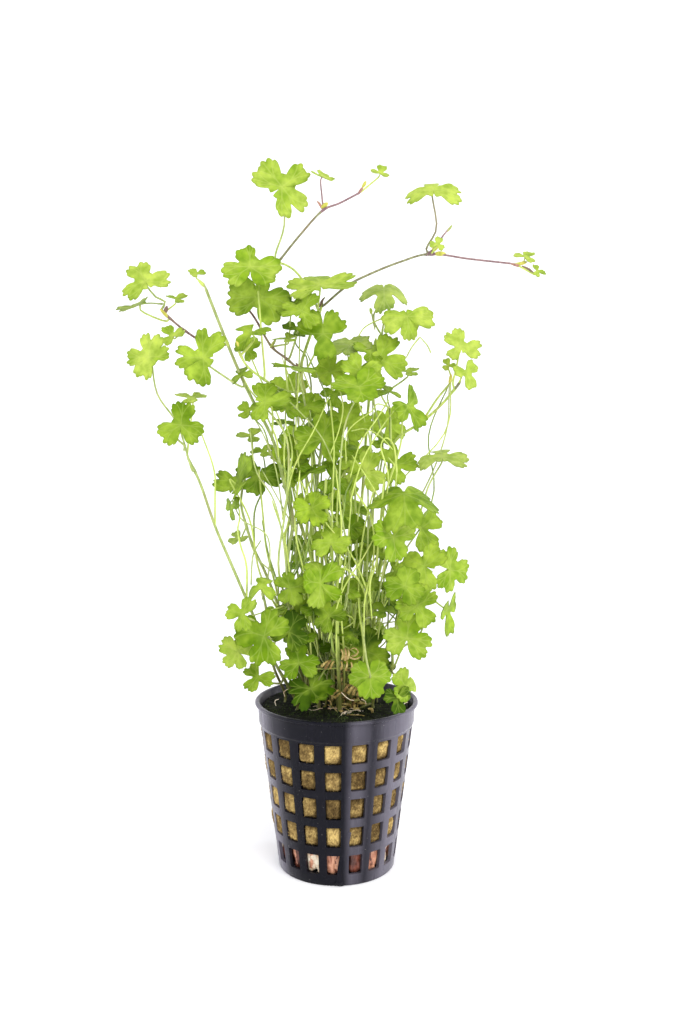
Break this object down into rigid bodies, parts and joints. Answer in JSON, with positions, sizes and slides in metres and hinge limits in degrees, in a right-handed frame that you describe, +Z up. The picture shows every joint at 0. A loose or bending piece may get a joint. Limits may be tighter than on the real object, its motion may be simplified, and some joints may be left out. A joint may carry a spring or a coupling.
{
  "type": "potted pennywort",
  "caption": "Small creeping aquarium pennywort with lobed leaves on thin stalks, growing from a rock wool plug in a slotted black net pot.",
  "frame": {"origin": "centre of the pot's flat underside, which stands on the surface", "axes": "+Z up along the pot's axis, -Y towards the viewer of the picture, +X to the viewer's right"},
  "size_m": [0.135, 0.0622, 0.2279],
  "materials": {
    "pot_plastic": "moulded black plastic, half gloss",
    "rock_wool": "matte fibrous mineral wool",
    "roots": "moist root mass",
    "stem": "smooth light green living stem",
    "runner": "smooth purple brown living runner",
    "leaf_lime": "soft young leaf",
    "leaf_fresh": "soft grown leaf",
    "leaf_deep": "soft shaded leaf",
    "leaf_pale": "soft pale leaf"
  },
  "bodies": {
    "root": {"pot": "pot_plastic", "rock_wool": "rock_wool", "roots": "roots", "stem_left_tall": "stem", "stem_left_low": "stem", "stem_centre": "stem", "stem_right": "stem", "stem_right_low": "stem", "stem_front": "stem", "stem_back": "stem", "stem_rear": "stem", "stem_left_front": "stem", "stem_left_mid": "stem", "runner_right": "runner", "runner_top": "runner", "leaf_01": "leaf_lime", "leaf_02": "leaf_lime", "leaf_03": "leaf_fresh", "leaf_04": "leaf_fresh", "leaf_05": "leaf_lime", "leaf_06": "leaf_pale", "leaf_07": "leaf_fresh", "leaf_08": "leaf_lime", "leaf_09": "leaf_fresh", "leaf_10": "leaf_pale", "leaf_11": "leaf_lime", "leaf_12": "leaf_fresh", "leaf_13": "leaf_fresh", "leaf_14": "leaf_fresh", "leaf_15": "leaf_pale", "leaf_16": "leaf_lime", "leaf_17": "leaf_fresh", "leaf_18": "leaf_deep", "leaf_19": "leaf_lime", "leaf_20": "leaf_lime", "leaf_21": "leaf_fresh", "leaf_22": "leaf_pale", "leaf_23": "leaf_deep", "leaf_24": "leaf_fresh", "leaf_25": "leaf_lime", "leaf_26": "leaf_pale", "leaf_27": "leaf_lime", "leaf_28": "leaf_fresh", "leaf_29": "leaf_lime", "leaf_30": "leaf_pale", "leaf_31": "leaf_deep", "leaf_32": "leaf_deep", "leaf_33": "leaf_fresh", "leaf_34": "leaf_fresh", "leaf_35": "leaf_lime", "leaf_36": "leaf_deep", "leaf_37": "leaf_lime", "leaf_38": "leaf_deep", "leaf_39": "leaf_lime", "leaf_40": "leaf_lime", "leaf_41": "leaf_fresh", "leaf_42": "leaf_fresh", "leaf_43": "leaf_lime", "leaf_44": "leaf_fresh"}
  },
  "joints": []
}
